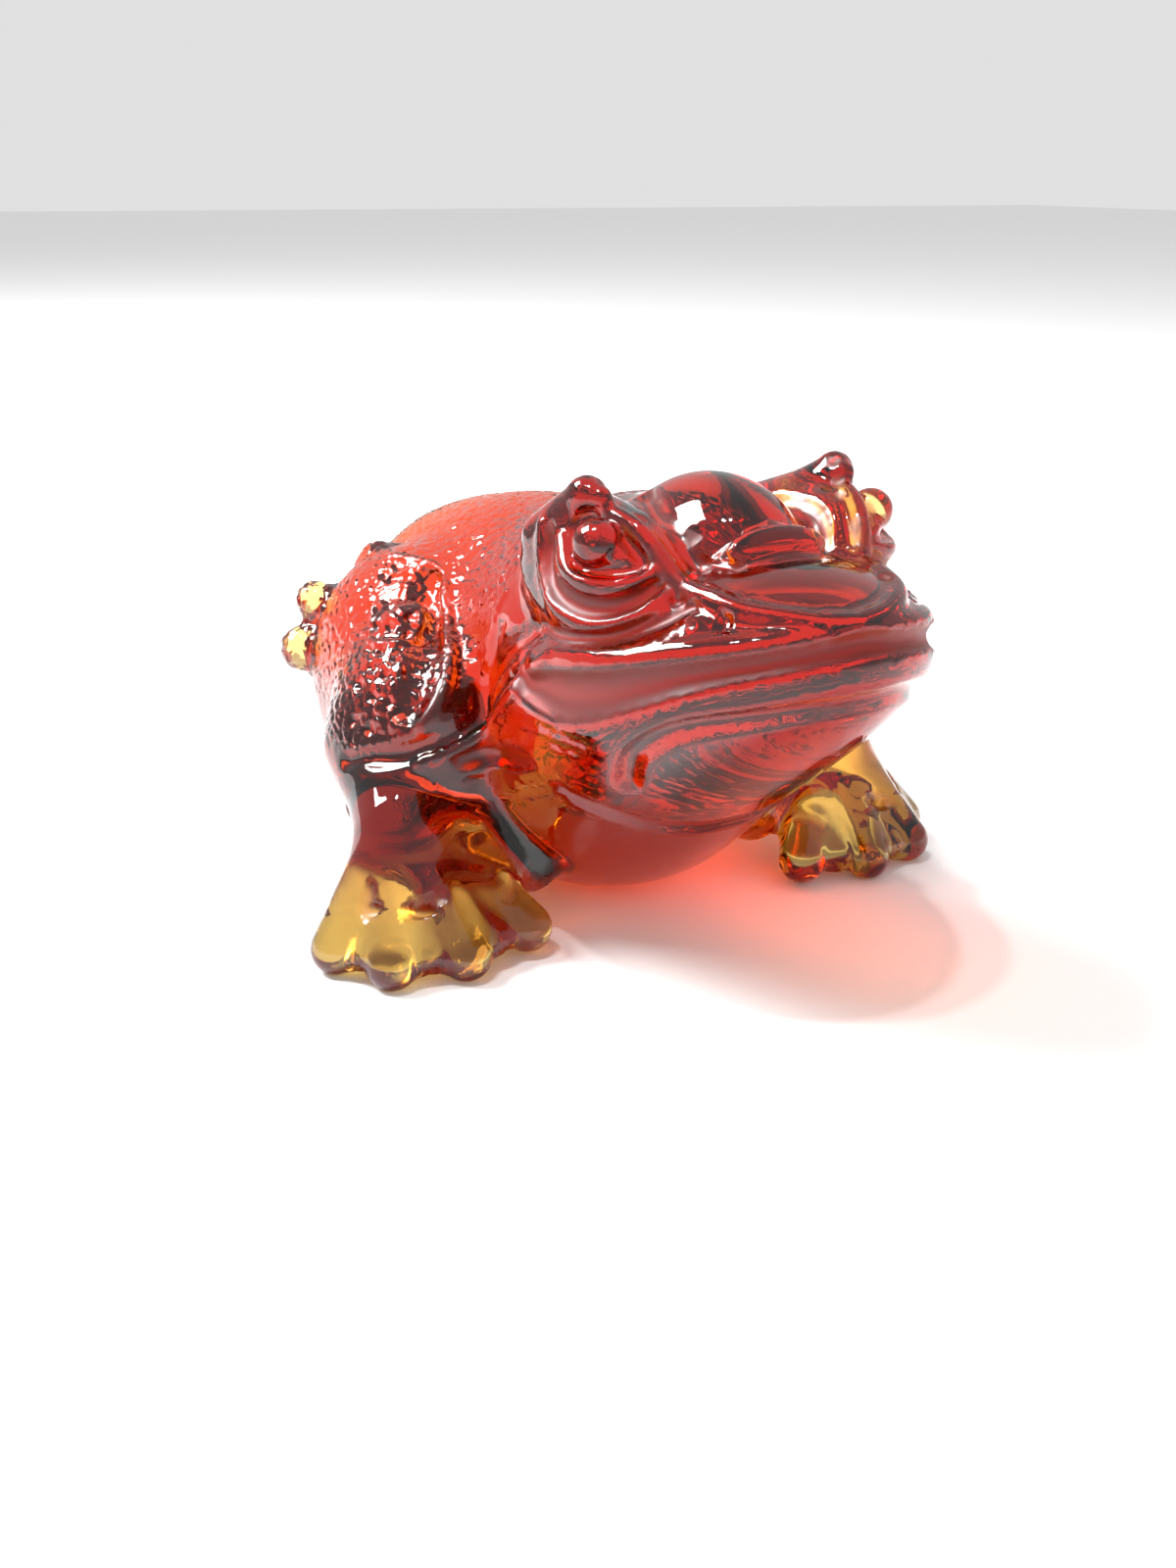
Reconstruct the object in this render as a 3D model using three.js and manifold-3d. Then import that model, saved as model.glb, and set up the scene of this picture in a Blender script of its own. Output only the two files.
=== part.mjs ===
// Amber frog carving: a squatting frog cut from one lump of clear amber.
// Millimetres, +Z up. The frog looks along -Y, and its left side is +X.
// Its form is a distance function: masses are blended together as a carver leaves them,
// grooves are taken away, and the zero level of the sum is meshed.

import * as THREE from "three";
import Module from "manifold-3d";
import { triTable } from "three/addons/objects/MarchingCubes.js";
import { mergeVertices } from "three/addons/utils/BufferGeometryUtils.js";

// Driving dimensions
const MOUTH_HALF_WIDTH = 15.8; // widest, at the corners of the mouth
const HEAD_PITCH = 20; // degrees that the mouth rises towards the tip
const HEAD_ROOT = { y: -12, z: 21.8 }; // the middle of the mouth line, between its corners

const MIDDLE_Y = 1.2; // halfway between snout and rump, set over the origin

const FINE = 0.85; // first mesh step on the head
const COARSE = 1.2; // first mesh step on the body
const HALF_FACES = 4850; // triangles kept on each side of the middle plane

// Joining and cutting distances

// The smaller of two distances, rounded where they meet over a width k.
function blend(a, b, k) {
  const h = Math.max(k - Math.abs(a - b), 0) / k;
  return Math.min(a, b) - (h * h * k) / 4;
}

const clamp01 = (t) => Math.min(1, Math.max(0, t));
const radians = THREE.MathUtils.degToRad;

// An ellipsoid about centre c with half-axes r, its nose raised by pitch degrees.
function ellipsoid(c, r, pitch = 0) {
  const cos = Math.cos(radians(pitch));
  const sin = Math.sin(radians(pitch));
  return (x, y, z) => {
    const dy = y - c[1];
    const dz = z - c[2];
    const u = (x - c[0]) / r[0];
    const v = (dy * cos - dz * sin) / r[1];
    const w = (dy * sin + dz * cos) / r[2];
    const k0 = Math.hypot(u, v, w);
    const k1 = Math.hypot(u / r[0], v / r[1], w / r[2]);
    return k1 < 1e-9 ? -Math.min(...r) : (k0 * (k0 - 1)) / k1;
  };
}

// A rounded bar from a to b whose radius runs from ra to rb.
function bar(a, b, ra, rb = ra) {
  const ab = [b[0] - a[0], b[1] - a[1], b[2] - a[2]];
  const len2 = ab[0] ** 2 + ab[1] ** 2 + ab[2] ** 2;
  return (x, y, z) => {
    const p = [x - a[0], y - a[1], z - a[2]];
    const t = clamp01((p[0] * ab[0] + p[1] * ab[1] + p[2] * ab[2]) / len2);
    const d = Math.hypot(p[0] - ab[0] * t, p[1] - ab[1] * t, p[2] - ab[2] * t);
    return d - (ra + (rb - ra) * t);
  };
}

// Rounded bars end to end through the points, with a radius given at each point.
function rope(points, radii) {
  const bars = points
    .slice(1)
    .map((p, i) => bar(points[i], p, radii[i], radii[i + 1]));
  return (x, y, z) => Math.min(...bars.map((f) => f(x, y, z)));
}

const ball = (c, r) => (x, y, z) =>
  Math.hypot(x - c[0], y - c[1], z - c[2]) - r;

// Head

// A point given in the head's own frame: out to the side, forward and up from the mouth line.
function headPoint(out, forward, up) {
  const cos = Math.cos(radians(HEAD_PITCH));
  const sin = Math.sin(radians(HEAD_PITCH));
  return [
    out,
    HEAD_ROOT.y - forward * cos + up * sin,
    HEAD_ROOT.z + forward * sin + up * cos,
  ];
}

const BROW_PEAK = [11.2, -15.9, 38.3];
const SNOUT_TIP = [0, -34.9, 32.9];

const skull = ellipsoid([0, -9, 26], [14, 14, 10.2]);
const upperJaw = ellipsoid(
  headPoint(0, 4, 0),
  [MOUTH_HALF_WIDTH, 20.2, 8.4],
  HEAD_PITCH,
);
const throat = ellipsoid([0, -14.5, 20], [14.8, 20.5, 9.3], 35);
const chest = ellipsoid([0, -1, 12.6], [14.5, 12.5, 11.7]);
const dome = ellipsoid([0, -15.5, 31.4], [6.6, 9.5, 7.6], 8);
const turret = ellipsoid([9.1, -17.3, 31.2], [5.5, 6.2, 6.2], 10);
const browCone = bar([9, -13, 33], BROW_PEAK, 5.5, 1);
const browBack = bar(BROW_PEAK, [12, -11.5, 34.5], 1.2, 2);


// Body

const trunk = ellipsoid([0, 9, 15.7], [16.5, 28.3, 17], 1);
const rump = ellipsoid([0, 21.5, 18.6], [12.7, 15, 11.3]);
const haunch = ellipsoid([12.5, 13, 16], [9, 13, 12.5]);
const knobs = [
  ball([19, 21, 22.7], 1.9),
  ball([20.8, 20.3, 18.6], 2.1),
  ball([13, 20, 26], 1.9),
];

// Limbs

const WRIST = [21.5, -4, 10];
const TOES = [
  [28.9, -7, 1.9],
  [26, -11.5, 1.8],
  [20.2, -12.9, 1.8],
  [14, -11.4, 2.2],
];
const shoulder = ellipsoid([17, 3, 16], [6.5, 10, 8.5]);
const forearm = bar([19, 3, 14], WRIST, 6, 3.6);
const armpit = bar([17, -4.5, 8.5], [11.5, -7, 5], 3.6, 1.9);
const toes = TOES.map((tip) => bar(WRIST, tip, 3, 2.1));
const webs = TOES.slice(1).map((tip, i) => {
  const between = tip.map((v, c) => (v + TOES[i][c]) / 2);
  const edge = between.map((v, c) => v + 0.03 * (WRIST[c] - v));
  const web = bar(WRIST, edge, 2.7, 1.7);
  web.edge = edge;
  return web;
});
const hindToes = [
  [14.5, 16, 2],
  [15.5, 20, 2],
  [13.5, 25, 2],
].map((tip) => bar([8, 20, 4], tip, 3.5, 2));

// The masses alone, before any line is cut. It takes the left side for both.
function body(x, y, z) {
  let d = trunk(x, y, z);
  d = blend(d, rump(x, y, z), 2);
  d = blend(d, skull(x, y, z), 6);
  d = blend(d, chest(x, y, z), 3);
  d = blend(d, throat(x, y, z), 3);
  d = blend(d, upperJaw(x, y, z), 2);
  d = blend(d, turret(x, y, z), 2);
  d = blend(d, dome(x, y, z), 1.5);
  d = blend(d, browCone(x, y, z), 2);
  d = blend(d, browBack(x, y, z), 1.5);
  d = blend(d, haunch(x, y, z), 2.5);
  for (const knob of knobs) d = blend(d, knob(x, y, z), 1.5);
  d = blend(d, shoulder(x, y, z), 2.5);
  d = blend(d, forearm(x, y, z), 2.5);
  d = blend(d, armpit(x, y, z), 2.5);
  let foot = toes[0](x, y, z);
  for (const toe of toes.slice(1)) foot = blend(foot, toe(x, y, z), 1);
  for (const web of webs) foot = blend(foot, web(x, y, z), 1);
  d = blend(d, foot, 2);
  for (const toe of hindToes) d = blend(d, toe(x, y, z), 1.5);
  return d;
}

// Carved lines

// The direction in which a field grows, times its steepness, by central differences.
function slope(field, [x, y, z]) {
  const e = 0.05;
  return [
    (field(x + e, y, z) - field(x - e, y, z)) / (2 * e),
    (field(x, y + e, z) - field(x, y - e, z)) / (2 * e),
    (field(x, y, z + e) - field(x, y, z - e)) / (2 * e),
  ];
}

// A point moved straight onto the zero level of a field.
function settle(field, point, steps) {
  let p = point;
  for (let i = 0; i < steps; i++) {
    const g = slope(field, p);
    const d = field(...p) / Math.max(0.3, g[0] ** 2 + g[1] ** 2 + g[2] ** 2);
    p = p.map((v, c) => v - d * g[c]);
  }
  return p;
}

// A cord of the given radius that lies on the body along a smooth curve through the points.
function cord(points, radius, closed = false) {
  const knots = points.map((p) => new THREE.Vector3(...p));
  const curve = new THREE.CatmullRomCurve3(knots, closed, "centripetal");
  const path = curve
    .getPoints(points.length * 3)
    .map((p) => settle(body, [p.x, p.y, p.z], 4));
  return rope(
    path,
    path.map(() => radius),
  );
}

// A line on the surface: along the points it rises by `rise`, or sinks where that is
// negative, and it is back at its old level `half` away from them.
function line(points, half, rise, closed = false) {
  const track = cord(points, 0, closed);
  const knots = points.map((p) => new THREE.Vector3(...p));
  const reach = new THREE.Sphere().setFromPoints(knots);
  const far = reach.radius + 2 * half;
  const { x: mx, y: my, z: mz } = reach.center;
  return (x, y, z) => {
    if (Math.hypot(x - mx, y - my, z - mz) > far) return 0;
    const t = track(x, y, z) / half;
    return t < 1 ? rise * (1 - t * t) ** 2 : 0;
  };
}

const carvedLines = [
  ...mouthLines(),
  ...eyeLines(),
  ...snoutLines(),
  ...flankLines(),
  ...footLines(),
];

// The mouth runs from corner to corner below the rolled upper lip, and opens into a broad
// hollow at each corner. Two shallow lines below it mark the chin.
function mouthLines() {
  const split = [
    [15.4, -14.3, 24.9],
    [15, -20.2, 26.2],
    [13.2, -25.4, 27.5],
    [10.4, -29.8, 28.6],
    [6.3, -33, 29.6],
    [3, -34.6, 30.4],
    [0, -36, 31.2],
  ];
  const hollow = [
    [15, -17, 24],
    [14.8, -20.6, 24.2],
    [13.8, -24.4, 26],
  ];
  const lip = [
    [15.1, -16, 27],
    [13.8, -22.6, 28.6],
    [11, -27.4, 30],
    [7.6, -31.2, 30.8],
    [3.6, -34.2, 31.7],
  ];
  const chin = [
    [11, -21.9, 17.9],
    [12.2, -23.8, 20.7],
    [11.6, -27, 23.5],
    [8.7, -31.4, 26.1],
    [4, -33.6, 26.6],
    [0, -34.2, 26.8],
  ];
  const throatFold = [
    [12.5, -15.5, 16],
    [10.6, -18.4, 14.6],
    [7.9, -18.8, 13.1],
    [4, -19.6, 12.2],
    [0, -20, 12],
  ];
  return [
    line(split, 1.5, -1.7),
    line(hollow, 2.2, -1.3),
    line(lip, 1.6, 0.6),
    line(chin, 1.4, -0.8),
    line(throatFold, 1.4, -0.8),
  ];
}

// The eye lies in an almond socket, with two rolls of skin and two grooves nested under it.
function eyeLines() {
  const socket = [
    [13.5, -17.4, 35.6],
    [12.3, -18.3, 37.1],
    [11.8, -20.3, 36.8],
    [11.4, -22.1, 35.8],
    [11.1, -23.4, 34.7],
    [12.7, -21.6, 34.2],
    [13.8, -19.4, 34],
  ];
  const bag = [
    [13.7, -16.2, 34.9],
    [14.2, -18.2, 33.5],
    [13.9, -20.3, 33],
    [12.5, -22.5, 33.3],
    [10.7, -24, 34.5],
  ];
  const innerGroove = [
    [13.4, -14.4, 36.5],
    [13.8, -14.9, 34.4],
    [14.6, -17.3, 32.4],
    [14.4, -19.7, 31.6],
    [13.3, -22, 31.7],
    [11.5, -23.8, 32.5],
    [10.3, -24.6, 33.6],
  ];
  const roll = [
    [13.9, -13.7, 33],
    [14.6, -16.2, 30.7],
    [14.5, -19, 30.1],
    [13.5, -21.8, 30.4],
    [11.8, -24, 31.3],
    [10.2, -25, 32.5],
  ];
  const outerGroove = [
    [14.4, -16.4, 28.9],
    [14.2, -20.1, 29.1],
    [13, -23.2, 29.6],
    [11, -25.6, 30.8],
    [9.2, -27.2, 32.2],
  ];
  return [
    line(socket, 1.1, -1.3, true),
    line(bag, 1, 0.7),
    line(innerGroove, 1.1, -1.1),
    line(roll, 1, 0.7),
    line(outerGroove, 1.1, -1),
  ];
}

// The groove between the dome of the skull and each brow, and the hooked nostril.
function snoutLines() {
  const domeGroove = [
    [8.2, -15, 35.4],
    [7.6, -19.5, 36.2],
    [6.3, -23, 34.6],
  ];
  const nostril = [
    [9.2, -26.2, 34.2],
    [8.5, -27.8, 33.6],
    [8.2, -29, 32.8],
    [8.5, -29.4, 31.4],
  ];
  return [line(domeGroove, 1.5, -1), line(nostril, 1, -0.9)];
}

// A long fold comes down behind the head and turns back under the haunch. In front of the
// haunch a hollow and a raised line run down to it, and the arm's skin is creased below it.
function flankLines() {
  const fold = [
    [14.2, -11.6, 30],
    [14.1, -8.9, 27.1],
    [14.6, -7.4, 23.5],
    [15.1, -6.5, 20.5],
    [17.3, -6.5, 18.4],
    [20.3, -5.5, 16.9],
    [22.7, -3.1, 15.9],
    [24.7, 0.9, 14.6],
  ];
  const foldEdge = [
    [14.6, -14.4, 26.8],
    [15.2, -11.6, 23.4],
    [15, -8.4, 19.9],
    [17, -7, 17.2],
    [20.2, -6.2, 15.4],
  ];
  const hollow = [
    [14.1, 10.2, 28],
    [15.1, 5.9, 26],
    [16.9, 0.5, 24.2],
    [18.9, -3.2, 22.2],
    [20.2, -4.1, 20],
  ];
  const raised = [
    [12.6, 7.4, 28],
    [12.6, 4.4, 26.6],
    [14.6, 0.4, 24.7],
    [16.6, -3.4, 22.6],
    [18.4, -5.2, 20.6],
  ];
  const crease = [
    [17.4, -7, 15.6],
    [15.2, -9.5, 16.9],
    [14.4, -14, 18],
  ];
  return [
    line(fold, 1.5, -1.2),
    line(foldEdge, 1.1, 0.8),
    line(hollow, 2, -1.3),
    line(raised, 1, 0.8),
    line(crease, 1.4, -0.9),
  ];
}

// Each web is cut by a groove from near the wrist to its edge.
function footLines() {
  return webs.map((web) => {
    const along = (t) => WRIST.map((v, c) => v + t * (web.edge[c] - v));
    return line([along(0.3), along(0.65), along(1.05)], 1.05, -1.2);
  });
}

// The sharp ridge from each brow to the tip of the snout
const snoutRidge = cord(
  [
    [10.9, -17.6, 38.4],
    [10, -20.5, 37.3],
    [8.9, -23.6, 35.4],
    [7.8, -27.4, 33.6],
    [6.6, -30.4, 33],
    [3.4, -33.4, 32.8],
    SNOUT_TIP,
  ],
  0.8,
);
const eyeball = ball([12.3, -19.3, 35.6], 1.8);
const leafBoss = ellipsoid([0, -24, 34.9], [4.3, 1.7, 1], -60);
const knot = ball([17, 4.6, 23.6], 2.5);

function frogField(px, y, z) {
  const x = Math.abs(px);
  let d = body(x, y, z);
  if (Math.abs(d) < 2.5)
    for (const carved of carvedLines) d -= carved(x, y, z);
  d = blend(d, snoutRidge(x, y, z), 0.9);
  d = blend(d, eyeball(x, y, z), 0.4);
  d = blend(d, leafBoss(x, y, z), 0.4);
  d = blend(d, knot(x, y, z), 0.8);
  return d;
}

// Meshing

// Grid lines from each stop to the next, with the step given for each stretch.
function gridLines(stops, steps) {
  const lines = [];
  steps.forEach((step, i) => {
    const span = stops[i + 1] - stops[i];
    const n = Math.round(span / step);
    for (let j = 0; j < n; j++) lines.push(stops[i] + (span * j) / n);
  });
  lines.push(stops.at(-1));
  return lines;
}

const CORNERS = [
  [0, 0, 0],
  [1, 0, 0],
  [1, 1, 0],
  [0, 1, 0],
  [0, 0, 1],
  [1, 0, 1],
  [1, 1, 1],
  [0, 1, 1],
];
const EDGES = [
  [0, 1],
  [1, 2],
  [2, 3],
  [3, 0],
  [4, 5],
  [5, 6],
  [6, 7],
  [7, 4],
  [0, 4],
  [1, 5],
  [2, 6],
  [3, 7],
];
const END_GAP = 0.08; // share of a grid edge that a vertex keeps from its ends

// Marching cubes over the grid: one vertex on each grid edge that the surface crosses.
function marchCubes(field, xs, ys, zs) {
  const [nx, ny, nz] = [xs.length, ys.length, zs.length];
  const node = (i, j, k) => (k * ny + j) * nx + i;
  const values = new Float64Array(nx * ny * nz);
  for (let k = 0; k < nz; k++)
    for (let j = 0; j < ny; j++)
      for (let i = 0; i < nx; i++)
        values[node(i, j, k)] = field(xs[i], ys[j], zs[k]);

  const positions = [];
  const faces = [];
  const onEdge = new Map();
  const vertexOn = (a, b) => {
    const [p, q] = [node(...a), node(...b)];
    const key = Math.min(p, q) * values.length + Math.max(p, q);
    if (!onEdge.has(key)) {
      const t = values[p] / (values[p] - values[q]);
      const s = Math.min(1 - END_GAP, Math.max(END_GAP, t));
      onEdge.set(key, positions.length / 3);
      positions.push(xs[a[0]] + s * (xs[b[0]] - xs[a[0]]));
      positions.push(ys[a[1]] + s * (ys[b[1]] - ys[a[1]]));
      positions.push(zs[a[2]] + s * (zs[b[2]] - zs[a[2]]));
    }
    return onEdge.get(key);
  };

  for (let k = 0; k < nz - 1; k++)
    for (let j = 0; j < ny - 1; j++)
      for (let i = 0; i < nx - 1; i++) {
        const cell = CORNERS.map((c) => [i + c[0], j + c[1], k + c[2]]);
        let kind = 0;
        cell.forEach((c, bit) => {
          if (values[node(...c)] < 0) kind |= 1 << bit;
        });
        for (let e = kind * 16; triTable[e] !== -1; e += 3) {
          const corner = [0, 1, 2].map((n) => {
            const [a, b] = EDGES[triTable[e + n]];
            return vertexOn(cell[a], cell[b]);
          });
          faces.push(corner[0], corner[2], corner[1]);
        }
      }
  return { positions, faces };
}

// Evens the triangles out: each vertex moves towards its neighbours' middle and then back
// onto the surface. Vertices on the middle plane stay in it.
function relax(field, { positions, faces }, rounds, share) {
  const count = positions.length / 3;
  for (let round = 0; round < rounds; round++) {
    const sum = new Float64Array(count * 3);
    const near = new Float64Array(count);
    for (let f = 0; f < faces.length; f++) {
      const p = faces[f];
      const q = faces[f - (f % 3) + ((f + 1) % 3)];
      for (let c = 0; c < 3; c++) {
        sum[3 * p + c] += positions[3 * q + c];
        sum[3 * q + c] += positions[3 * p + c];
      }
      near[p] += 1;
      near[q] += 1;
    }
    for (let v = 0; v < count; v++) {
      const middle = [0, 1, 2].map((c) => {
        const old = positions[3 * v + c];
        return old + share * (sum[3 * v + c] / near[v] - old);
      });
      if (positions[3 * v] === 0) middle[0] = 0;
      const p = settle(field, middle, 1);
      if (positions[3 * v] === 0) p[0] = 0;
      for (let c = 0; c < 3; c++) positions[3 * v + c] = p[c];
    }
  }
}

const SHAPE_WEIGHT = 0.0015; // what a long edge costs, against a surface moved by 1 mm
const ROUND_SHARE = 0.1; // most edges closed up in one round, as a share of all

// Thins the mesh out by closing edges up, first those whose loss moves the surface least.
// The cost of a place is its squared distance from the planes of the faces around the edge.
function thin({ positions, faces }, target) {
  let shape = { positions, faces };
  while (shape.faces.length / 3 > target) {
    const before = shape.faces.length;
    shape = closeEdges(shape, target);
    if (shape.faces.length === before) break;
  }
  return shape;
}

function closeEdges({ positions, faces }, target) {
  const count = positions.length / 3;
  const at = (v) => positions.slice(3 * v, 3 * v + 3);
  const normalOf = (p, q, r) => {
    const u = q.map((v, c) => v - p[c]);
    const w = r.map((v, c) => v - p[c]);
    return [
      u[1] * w[2] - u[2] * w[1],
      u[2] * w[0] - u[0] * w[2],
      u[0] * w[1] - u[1] * w[0],
    ];
  };
  const around = Array.from({ length: count }, () => []);
  const planes = [];
  const edges = new Map();
  for (let f = 0; f < faces.length; f += 3) {
    const corners = [faces[f], faces[f + 1], faces[f + 2]];
    const n = normalOf(...corners.map(at));
    const twice = Math.hypot(...n) || 1e-12;
    const unit = n.map((v) => v / twice);
    const p = at(corners[0]);
    const level = unit[0] * p[0] + unit[1] * p[1] + unit[2] * p[2];
    planes.push({ unit, level, area: twice / 2 });
    corners.forEach((v, i) => {
      around[v].push(f / 3);
      const w = corners[(i + 1) % 3];
      const key = Math.min(v, w) * count + Math.max(v, w);
      edges.set(key, (edges.get(key) ?? 0) + 1);
    });
  }

  const wishes = [];
  for (const [key, sides] of edges) {
    const a = Math.floor(key / count);
    const b = key % count;
    const ring = new Set([...around[a], ...around[b]]);
    const [pa, pb] = [at(a), at(b)];
    const onPlane = [a, b].filter((v) => positions[3 * v] === 0);
    if (onPlane.length === 2 && sides === 2) continue;
    const middle = pa.map((v, c) => (v + pb[c]) / 2);
    const places =
      onPlane.length === 1 ? [at(onPlane[0])] : [middle, pa, pb];
    const long = Math.hypot(...pa.map((v, c) => v - pb[c]));
    for (const place of places) {
      let cost = SHAPE_WEIGHT * long ** 4;
      for (const f of ring) {
        const { unit, level, area } = planes[f];
        const off = unit[0] * place[0] + unit[1] * place[1] + unit[2] * place[2];
        cost += area * (off - level) ** 2;
      }
      wishes.push({ a, b, sides, ring, place, cost });
    }
  }
  wishes.sort((p, q) => p.cost - q.cost);

  const busy = new Uint8Array(count);
  const next = Array.from({ length: count }, (_, v) => v);
  let left = Math.min(
    (faces.length / 3 - target) / 2,
    ROUND_SHARE * edges.size,
  );
  for (const { a, b, sides, ring, place } of wishes) {
    if (left <= 0) break;
    if (busy[a] || busy[b]) continue;
    const rim = new Map();
    let fits = true;
    for (const f of ring) {
      const corners = [faces[3 * f], faces[3 * f + 1], faces[3 * f + 2]];
      const hasA = corners.includes(a);
      const hasB = corners.includes(b);
      for (const v of corners)
        if (v !== a && v !== b) rim.set(v, (rim.get(v) ?? 0) | (hasA ? 1 : 0) | (hasB ? 2 : 0));
      if (hasA && hasB) continue;
      const moved = corners.map((v) => (v === a || v === b ? place : at(v)));
      const n = normalOf(...moved);
      const size = Math.hypot(...n);
      const { unit } = planes[f];
      const turn = (n[0] * unit[0] + n[1] * unit[1] + n[2] * unit[2]) / (size || 1);
      if (size < 1e-4 || turn < 0.35) fits = false;
    }
    const shared = [...rim.values()].filter((v) => v === 3).length;
    if (!fits || shared !== sides) continue;
    next[b] = a;
    for (let c = 0; c < 3; c++) positions[3 * a + c] = place[c];
    for (const v of [a, b, ...rim.keys()]) busy[v] = 1;
    left -= 1;
  }

  const kept = new Map();
  const out = { positions: [], faces: [] };
  for (let f = 0; f < faces.length; f += 3) {
    const corners = [0, 1, 2].map((i) => next[faces[f + i]]);
    if (new Set(corners).size < 3) continue;
    for (const v of corners) {
      if (!kept.has(v)) {
        kept.set(v, out.positions.length / 3);
        out.positions.push(...at(v));
      }
      out.faces.push(kept.get(v));
    }
  }
  return out;
}

// The left half and its mirror image, joined along the middle plane.
function mirrored({ positions, faces }) {
  const both = { positions: [...positions], faces: [...faces] };
  const twin = [];
  for (let v = 0; v < positions.length / 3; v++) {
    if (positions[3 * v] === 0) {
      twin.push(v);
      continue;
    }
    twin.push(both.positions.length / 3);
    both.positions.push(-positions[3 * v], positions[3 * v + 1], positions[3 * v + 2]);
  }
  for (let f = 0; f < faces.length; f += 3)
    both.faces.push(twin[faces[f]], twin[faces[f + 2]], twin[faces[f + 1]]);
  return both;
}

const xs = gridLines([0, 20, 36], [FINE, COARSE]);
const ys = gridLines([-40, -8, 42], [FINE, COARSE]);
const zs = gridLines([-4, 20, 44], [COARSE, FINE]);
const fullHalf = marchCubes(frogField, xs, ys, zs);
relax(frogField, fullHalf, 2, 0.5);
const thinHalf = thin(fullHalf, HALF_FACES);
relax(frogField, thinHalf, 1, 0.15);
const shape = mirrored(thinHalf);

// Underside: everything below the ground plane is cut off flat.

const wasm = await Module();
wasm.setup();

function solidFrom(geometry) {
  const bare = geometry.clone();
  bare.deleteAttribute("normal");
  bare.deleteAttribute("uv");
  const merged = mergeVertices(bare, 1e-4);
  return new wasm.Manifold(
    new wasm.Mesh({
      numProp: 3,
      vertProperties: merged.attributes.position.array,
      triVerts: new Uint32Array(merged.index.array),
    }),
  );
}

function geometryFrom(solid) {
  const mesh = solid.getMesh();
  const geometry = new THREE.BufferGeometry();
  geometry.setAttribute(
    "position",
    new THREE.BufferAttribute(mesh.vertProperties, 3),
  );
  geometry.setIndex(new THREE.BufferAttribute(mesh.triVerts, 1));
  return geometry;
}

const rough = new THREE.BufferGeometry();
rough.setAttribute(
  "position",
  new THREE.Float32BufferAttribute(shape.positions, 3),
);
rough.setIndex(shape.faces);

const ground = new THREE.BoxGeometry(120, 120, 20);
ground.translate(0, 0, -10);

const whole = solidFrom(rough).subtract(solidFrom(ground));
const geometry = geometryFrom(whole);
geometry.computeVertexNormals();

const amber = new THREE.MeshStandardMaterial({
  color: 0xa04a0c,
  roughness: 0.12,
  metalness: 0,
});
const carving = new THREE.Mesh(geometry, amber);
carving.name = "frog_carving";
carving.position.y = -MIDDLE_Y;

const frog = new THREE.Group();
frog.add(carving);

export default frog;
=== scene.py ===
# %% [markdown]
# # A frog carved from clear amber
# The carving is one lump of fossil resin, ground and polished by hand: broad round forms that
# show the depth of the stone, and matte grooves cut between them with a small burr. The packed
# CAD solid gives its place, size and main forms. Here the same forms are worked out again on
# a much finer mesh, and the small carving and the look of clear amber are added.

# %% Load the CAD frame
import math

import bpy
import numpy as np
from mathutils import Matrix, Vector


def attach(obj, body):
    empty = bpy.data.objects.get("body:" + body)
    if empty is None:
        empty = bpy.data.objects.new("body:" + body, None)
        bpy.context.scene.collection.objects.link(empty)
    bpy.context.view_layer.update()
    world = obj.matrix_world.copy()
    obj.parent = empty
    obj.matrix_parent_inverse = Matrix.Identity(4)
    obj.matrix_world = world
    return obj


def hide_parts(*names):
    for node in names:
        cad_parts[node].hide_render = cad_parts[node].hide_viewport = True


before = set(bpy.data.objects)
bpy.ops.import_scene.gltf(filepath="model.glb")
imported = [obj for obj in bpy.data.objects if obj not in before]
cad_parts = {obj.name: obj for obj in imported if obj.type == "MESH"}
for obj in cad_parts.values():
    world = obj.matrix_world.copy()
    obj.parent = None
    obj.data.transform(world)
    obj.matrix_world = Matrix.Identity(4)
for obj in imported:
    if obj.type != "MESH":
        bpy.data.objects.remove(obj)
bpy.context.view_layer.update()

MM = 0.001  # the forms below are in millimetres, Blender is in metres
MIDDLE_Y = 1.2  # the forms are drawn this far in front of the CAD frame's origin

# %% [markdown]
# ## Camera
# The photograph looks a little down on the frog from its right front. A camera is an object
# whose own -Z axis is the way it looks, so its three axes are worked out from the azimuth,
# the elevation and a slight roll, and go straight into its matrix.

# %% Camera at the photograph's angle
AZIMUTH = math.radians(-29.7)
ELEVATION = math.radians(21.6)
ROLL = math.radians(0.5)
DISTANCE = 145.3 * MM
TARGET = Vector((0, 3.2 - MIDDLE_Y, 7.1)) * MM
FILM = 36  # millimetres of film along the tall side, the same as the lens

back = Vector(
    (
        math.sin(AZIMUTH) * math.cos(ELEVATION),
        -math.cos(AZIMUTH) * math.cos(ELEVATION),
        math.sin(ELEVATION),
    )
)
level = Vector((math.cos(AZIMUTH), math.sin(AZIMUTH), 0))
upright = back.cross(level)
right = level * math.cos(ROLL) + upright * math.sin(ROLL)
up = upright * math.cos(ROLL) - level * math.sin(ROLL)

lens = bpy.data.cameras.new("photo_camera")
lens.sensor_fit = "VERTICAL"
lens.sensor_height = FILM
lens.lens = FILM
lens.clip_start = 0.005
camera = bpy.data.objects.new("photo_camera", lens)
bpy.context.scene.collection.objects.link(camera)
camera.matrix_world = Matrix.Translation(TARGET + back * DISTANCE) @ Matrix(
    (right, up, back)
).transposed().to_4x4()
bpy.context.scene.camera = camera
print("camera at", [round(v, 4) for v in camera.location])

# %% [markdown]
# ## Distance functions
# A carver thinks in masses that run into each other. A distance function does the same: it
# tells for every point how far it lies outside a form, with a minus sign inside. Two forms
# are joined by taking the smaller distance, and a rounded minimum leaves a fillet between
# them. All functions here take whole arrays of points, so numpy works them out in one go.

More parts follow.
